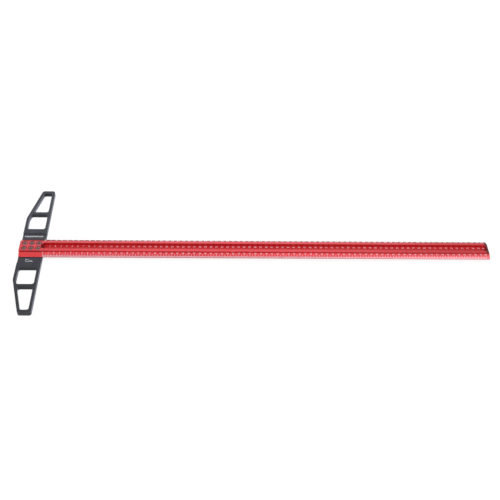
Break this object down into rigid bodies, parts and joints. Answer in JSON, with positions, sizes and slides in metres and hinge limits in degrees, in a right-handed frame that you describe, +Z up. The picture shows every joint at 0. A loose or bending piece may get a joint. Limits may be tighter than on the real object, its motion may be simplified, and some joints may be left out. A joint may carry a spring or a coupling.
{
  "type": "t-square",
  "caption": "T-square: long red metal rail with a raised grooved plateau and bevelled scale edges, screwed across a flat black open-frame head.",
  "frame": {"origin": "on the head's working face, on the rail's centre line and in the plane of the rail's underside, at the zero of the scales", "axes": "+X along the rail away from the head, +Y across the rail along the head, +Z up, away from the drawing surface"},
  "size_m": [0.8485, 0.3024, 0.014],
  "materials": {
    "rail_red": "satin red anodised, extruded and milled",
    "head_black": "matt black anodised",
    "screw_steel": "plain turned steel",
    "scale_white": "white marking ink"
  },
  "bodies": {
    "root": {"rail": "rail_red", "head": "head_black", "screw_far_1": "screw_steel", "screw_far_2": "screw_steel", "screw_far_3": "screw_steel", "screw_near_1": "screw_steel", "screw_near_2": "screw_steel", "screw_near_3": "screw_steel"}
  },
  "joints": []
}
